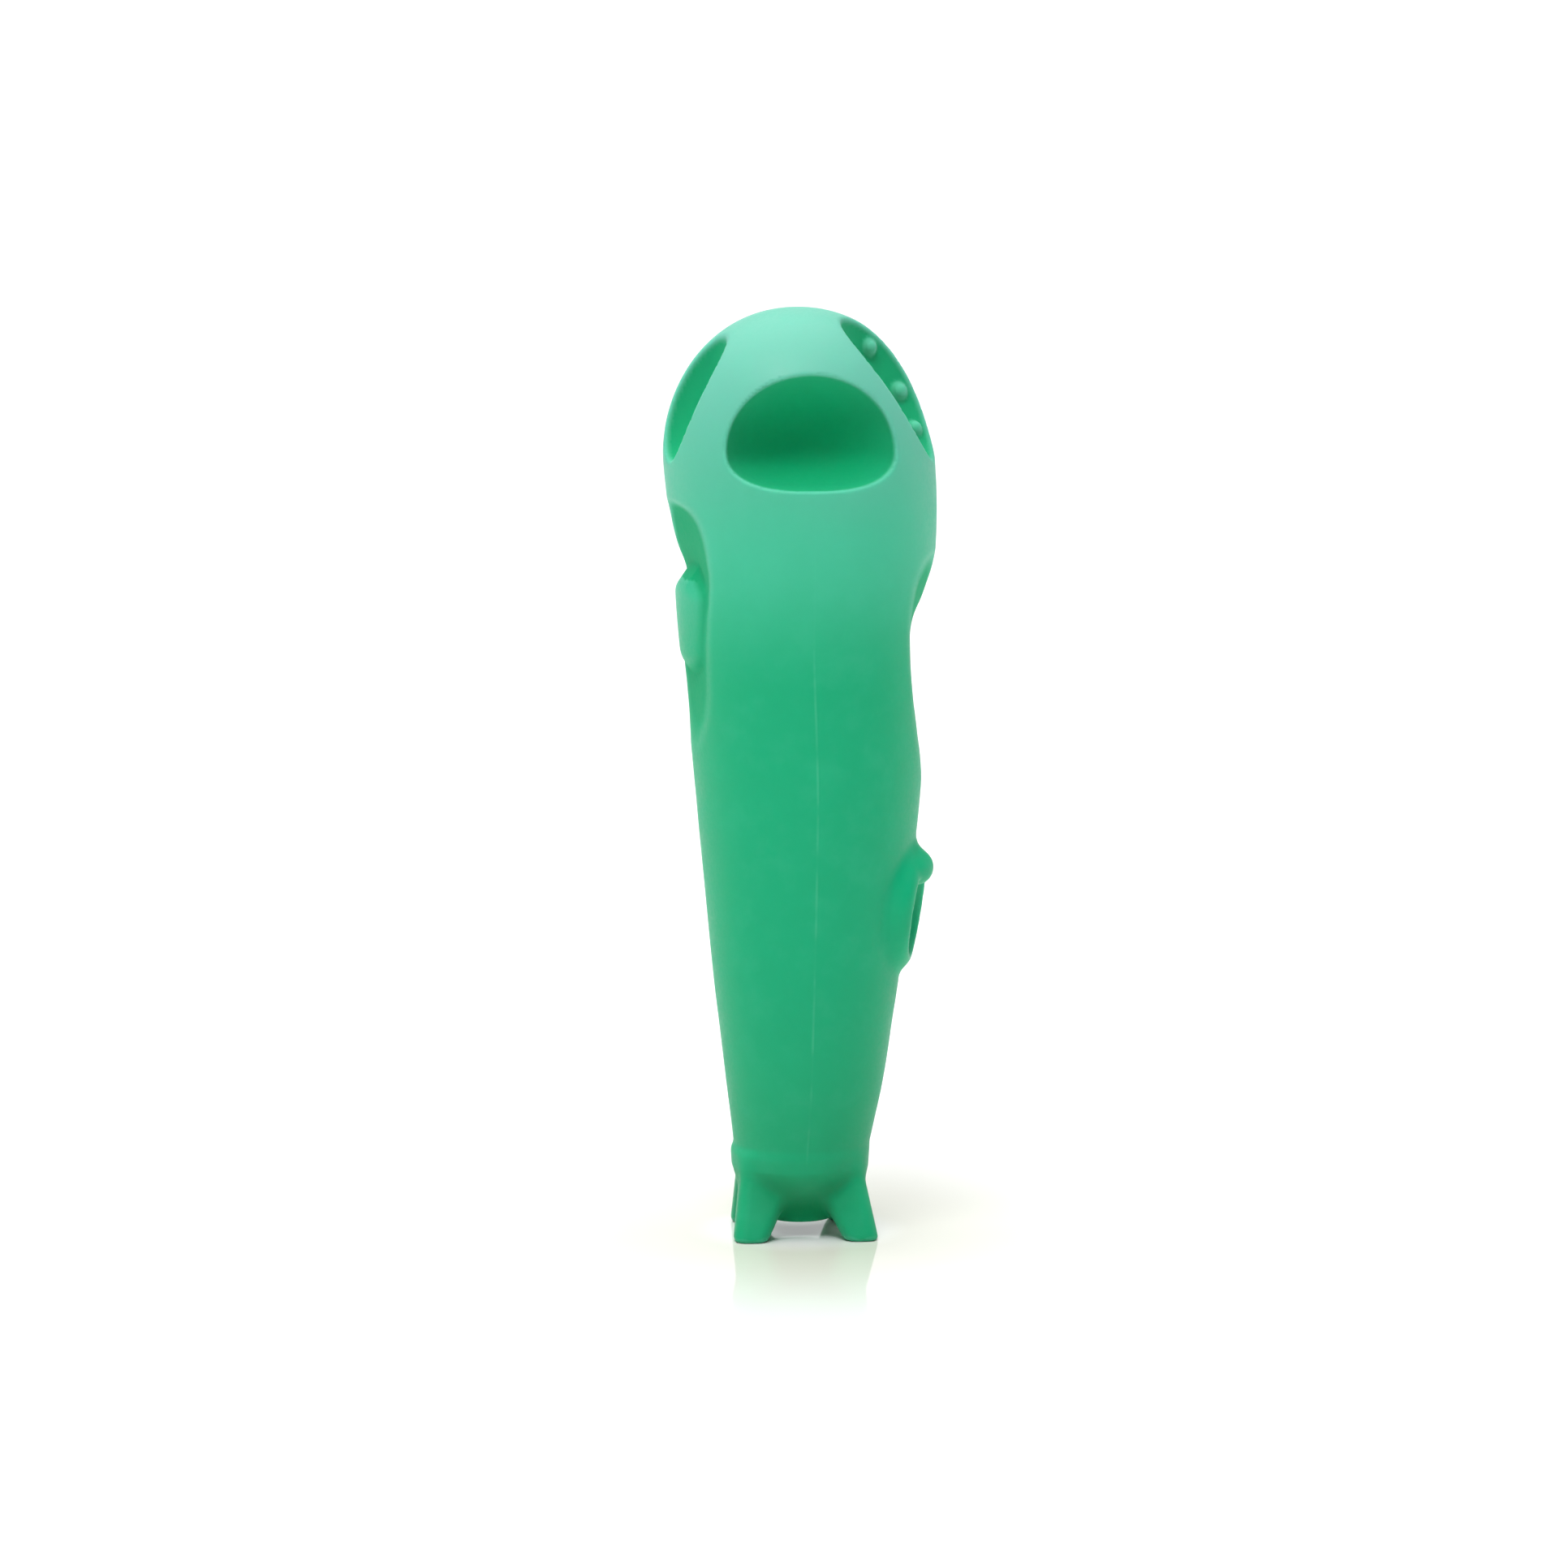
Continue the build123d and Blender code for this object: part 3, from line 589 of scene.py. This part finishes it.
def silicone():
    n = Nodes("green_silicone")
    broad = n.noise(38.0, 2.0, 0.5)
    cloud = n.noise(170.0, 3.0, 0.6)
    grain = n.noise(1500.0, 3.0, 0.6)
    flow = n.noise(60.0, 3.0, 0.55, 0.4, (1.0, 1.0, 0.25))
    height_z = n.add("ShaderNodeSeparateXYZ")
    n.link(n.where, height_z.inputs[0])
    up = height_z.outputs["Z"]
    # painted light: the tint is paler toward the top of the head, where the overhead light falls; painted shade darkens
    # it in the hollows and under the body
    head_light_level = n.math("MULTIPLY_ADD", broad, 0.010, up)
    sunk = n.attribute("sunk")
    tint = n.mix(n.spread(head_light_level, 0.100, 0.128, 0.0, 1.0), (0.0012, 0.362, 0.163), (0.048, 0.455, 0.270))
    tint = n.mix(n.spread(head_light_level, 0.124, 0.157, 0.0, 1.0), tint, (0.120, 0.430, 0.320))
    # painted light: slightly lighter low on the handle
    tint = n.mix(n.spread(up, 0.050, 0.012, 0.0, 0.5), tint, (0.016, 0.375, 0.170))
    tint = n.mix(n.spread(cloud, 0.42, 0.75, 0.0, 0.20), tint, n.mix(0.35, tint, (0.10, 0.55, 0.36)))
    tint = n.mix(n.spread(flow, 0.55, 0.8, 0.0, 0.18), tint, n.mix(0.5, tint, (0.0, 0.29, 0.12)))
    # painted shade in the hollows and between the legs
    tint = n.mix(n.math("MULTIPLY", sunk, 0.95), tint, (0.0006, 0.312, 0.126))
    # painted shade deepening toward the bottom of a hollow
    tint = n.mix(n.math("MULTIPLY", n.attribute("deep_shade"), 0.9), tint, (0.0002, 0.345, 0.135))
    # painted shade under the chin and between the legs
    tint = n.mix(n.math("MULTIPLY", n.attribute("root_shade"), 0.9), tint, (0.0002, 0.200, 0.066))
    # painted highlight along the convex lips, painted shade in the creases
    lip = n.attribute("lip")
    tint = n.mix(n.spread(lip, 0.65, 1.0, 0.0, 0.24), tint, (0.12, 0.56, 0.38))
    tint = n.mix(n.spread(lip, -0.25, -1.0, 0.0, 0.35), tint, (0.001, 0.23, 0.09))
    seam = n.math("ABSOLUTE", n.attribute("seam"))
    line = n.math("MULTIPLY", n.spread(seam, 0.32, 0.04, 0.0, 1.0), n.spread(n.noise(120.0, 2.0), 0.42, 0.60, 0.12, 1.0))
    line = n.math("MULTIPLY", line, n.spread(up, 0.122, 0.112, 0.0, 1.0))
    line = n.math("MULTIPLY", line, n.spread(up, 0.012, 0.020, 0.0, 1.0))
    tint = n.mix(n.math("MULTIPLY", line, 0.12), tint, (0.20, 0.66, 0.46))
    rough = n.math("ADD", n.spread(grain, 0.3, 0.7, 0.43, 0.53), n.spread(cloud, 0.35, 0.7, -0.03, 0.05))
    rough = n.math("MULTIPLY_ADD", sunk, 0.42, rough)
    height = n.math("MULTIPLY_ADD", line, 0.35, n.math("MULTIPLY", grain, 0.06))
    normal = n.bump(height, 0.55, 0.00012)
    normal = n.bump(n.noise(420.0, 2.0, 0.5), 0.16, 0.00012, normal)
    n.set(Base_Color=tint, Roughness=rough, Normal=normal, IOR=1.43,
          Subsurface_Weight=0.35, Subsurface_Radius=(0.25, 1.0, 0.7), Subsurface_Scale=0.0016,
          Specular_IOR_Level=0.24, Sheen_Weight=0.03, Sheen_Roughness=0.45, Sheen_Tint=(0.9, 1.0, 0.96))
    return n.mat


def moulded(name, light, dark, rough, grain=900.0, bump=0.12, **more):
    """Plain moulded or cast material: slow tone drift, fine grain, scuffed roughness."""
    n = Nodes(name)
    tone = n.mix(n.spread(n.noise(90.0, 3.0), 0.3, 0.7, 0.0, 1.0), dark, light)
    fine = n.noise(grain, 3.0, 0.6)
    tone = n.mix(n.spread(fine, 0.55, 0.8, 0.0, 0.25), tone, tuple(min(1.0, c * 1.12 + 0.01) for c in light))
    r = n.spread(n.noise(260.0, 3.0, 0.6, 0.0), 0.3, 0.7, rough - 0.07, rough + 0.07)
    n.set(Base_Color=tone, Roughness=r, Normal=n.bump(fine, bump, 0.0001), **more)
    return n.mat


SILICONE = silicone()
PLASTIC = moulded("white_polypropylene", (0.78, 0.79, 0.76), (0.70, 0.71, 0.68), 0.42, Subsurface_Weight=0.1, Subsurface_Scale=0.001)
MILKY = moulded("milky_silicone", (0.62, 0.68, 0.65), (0.52, 0.59, 0.56), 0.38, 1200.0, 0.1, Subsurface_Weight=0.3, Subsurface_Scale=0.0015)
SEAL = moulded("seal_rubber", (0.035, 0.035, 0.037), (0.018, 0.018, 0.019), 0.55, 1600.0, 0.25)
BALL = moulded("glass_ball", (0.72, 0.80, 0.80), (0.62, 0.72, 0.73), 0.12, 500.0, 0.03, Transmission_Weight=0.7, IOR=1.5)
DISC = moulded("filter_paper", (0.86, 0.86, 0.83), (0.72, 0.72, 0.69), 0.85, 2200.0, 0.8)

FINISH = {"silicone": SILICONE, "clear_silicone": MILKY, "white_plastic": PLASTIC,
          "black_rubber": SEAL, "ball_glass": BALL, "filter_membrane": DISC}


def paint(ob, material):
    ob.data.materials.clear()
    ob.data.materials.append(material)


for ob in skins:
    paint(ob, SILICONE)
paint(sleeve, MILKY)
slots = {}
for sub in frame["record"]["subparts"]:
    slots[sub["node"]] = sub["material_slot"]
for name, ob in frame["nodes"].items():
    for i in range(max(1, len(ob.material_slots))):
        if not ob.material_slots:
            ob.data.materials.append(FINISH[slots[name]])
        else:
            ob.material_slots[i].material = FINISH[slots[name]]

# ------------------------------------------------------------------ floor, lights, camera


def stage_floor():
    """A wide flat floor reaching far behind the object."""
    me = bpy.data.meshes.new("studio_floor")
    xs = np.linspace(-9, 9, 37)
    ys = np.concatenate([np.linspace(-6, 9, 31)])
    co = [(x, y, 0.0) for y in ys for x in xs]
    n = len(xs)
    faces = [(j * n + i, j * n + i + 1, (j + 1) * n + i + 1, (j + 1) * n + i)
             for j in range(len(ys) - 1) for i in range(n - 1)]
    me.from_pydata(co, [], faces)
    ob = bpy.data.objects.new("studio_floor", me)
    bpy.context.scene.collection.objects.link(ob)
    n = Nodes("studio_paper")
    tone = n.mix(n.spread(n.noise(9.0, 3.0), 0.3, 0.7, 0.0, 1.0), (0.905, 0.900, 0.888), (0.915, 0.911, 0.900))
    away = n.add("ShaderNodeVectorMath", operation="LENGTH")
    n.link(n.where, away.inputs[0])
    gloss = n.math("ADD", n.spread(away.outputs["Value"], 0.03, 0.35, 0.06, 0.97), n.spread(n.noise(300.0, 2.0), 0.3, 0.7, 0.0, 0.02))
    # painted shadow: a warm darker ring on the floor round the feet
    shadow_ring = n.math("MULTIPLY", n.spread(away.outputs["Value"], 0.008, 0.020, 0.0, 1.0), n.spread(away.outputs["Value"], 0.018, 0.090, 1.0, 0.0))
    tone = n.mix(shadow_ring, tone, (0.69, 0.67, 0.59))
    n.set(Base_Color=tone, Roughness=gloss, Specular_IOR_Level=0.45)
    me.materials.append(n.mat)
    return ob


stage_floor()

world = bpy.data.worlds.new("studio")
bpy.context.scene.world = world
world.use_nodes = True
wt = world.node_tree
wt.nodes["Background"].inputs[0].default_value = (0.98, 0.99, 1.0, 1.0)


def world_node(kind, links=(), **values):
    node = wt.nodes.new(kind)
    for k, v in values.items():
        setattr(node, k, v)
    for socket, source in links:
        if isinstance(source, (int, float)):
            node.inputs[socket].default_value = source
        else:
            wt.links.new(source, node.inputs[socket])
    return node


# dim room with a bright white cyclorama low down behind the object
where = world_node("ShaderNodeSeparateXYZ", [(0, world_node("ShaderNodeTexCoord").outputs["Generated"])])
behind = world_node("ShaderNodeMapRange", [(0, where.outputs["Y"]), (1, 0.80), (2, 0.95), (3, 0.0), (4, 1.0)], interpolation_type="SMOOTHSTEP")
lowdown = world_node("ShaderNodeMapRange", [(0, world_node("ShaderNodeMath", [(0, where.outputs["Z"])], operation="ABSOLUTE").outputs[0]), (1, 0.40), (2, 0.22), (3, 0.0), (4, 1.0)], interpolation_type="SMOOTHSTEP")
glow = world_node("ShaderNodeMath", [(0, behind.outputs[0]), (1, lowdown.outputs[0])], operation="MULTIPLY")
power = world_node("ShaderNodeMath", [(0, glow.outputs[0]), (1, 0.86), (2, 0.14)], operation="MULTIPLY_ADD")
wt.links.new(power.outputs[0], wt.nodes["Background"].inputs[1])


def lamp(name, kind, at, aim, energy, size=0.3, size_y=None, colour=(1, 1, 1)):
    data = bpy.data.lights.new(name, kind)
    data.energy = energy
    data.color = colour
    if kind == "AREA":
        data.shape = "RECTANGLE"
        data.size = size
        data.size_y = size_y or size
    if kind == "SUN":
        data.angle = size
    ob = bpy.data.objects.new(name, data)
    ob.location = at
    ob.rotation_mode = "QUATERNION"
    ob.rotation_quaternion = (Vector(aim) - Vector(at)).to_track_quat("-Z", "Y")
    bpy.context.scene.collection.objects.link(ob)
    return ob


lamp("overhead_sky", "SUN", (-0.12, 0.16, 1.2), (0, 0, 0), 3.3, math.radians(80))
lamp("front_softbox", "AREA", (-0.17, -0.43, 0.90), (0, 0, 0.15), 5.5, 0.42, 0.30, (0.97, 1.0, 1.03))
lamp("far_floor", "AREA", (0, 4.2, 2.6), (0, 4.2, 0), 30.0, 4.0, 3.0)
lamp("left_strip", "AREA", (-0.55, 0.30, 0.25), (0, 0, 0.09), 0.36, 0.18, 0.5)
lamp("right_strip", "AREA", (0.55, 0.22, 0.25), (0, 0, 0.09), 0.46, 0.18, 0.5)

AZIMUTH, ELEVATION, DISTANCE = math.radians(-5.0), math.radians(8.5), 1.3
back = Vector((math.sin(AZIMUTH) * math.cos(ELEVATION), -math.cos(AZIMUTH) * math.cos(ELEVATION), math.sin(ELEVATION)))
across = Vector((math.cos(AZIMUTH), math.sin(AZIMUTH), 0))
upward = back.cross(across)
centre = Vector((0, 0, 0.08))
data = bpy.data.cameras.new("camera")
data.sensor_width = 36.0
data.lens = 173.95
data.clip_start, data.clip_end = 0.05, 60.0
camera = bpy.data.objects.new("camera", data)
camera.location = centre + back * DISTANCE
aim = centre - across * 0.00265 - upward * 0.00196
camera.rotation_mode = "QUATERNION"
view_dir = (aim - camera.location).normalized()
side = view_dir.cross(Vector((0, 0, 1))).normalized()
camera.rotation_quaternion = view_dir.to_track_quat("-Z", "Y")
bpy.context.scene.collection.objects.link(camera)
bpy.context.scene.camera = camera
bpy.context.scene.view_settings.view_transform = "Standard"
bpy.context.scene.view_settings.look = "None"
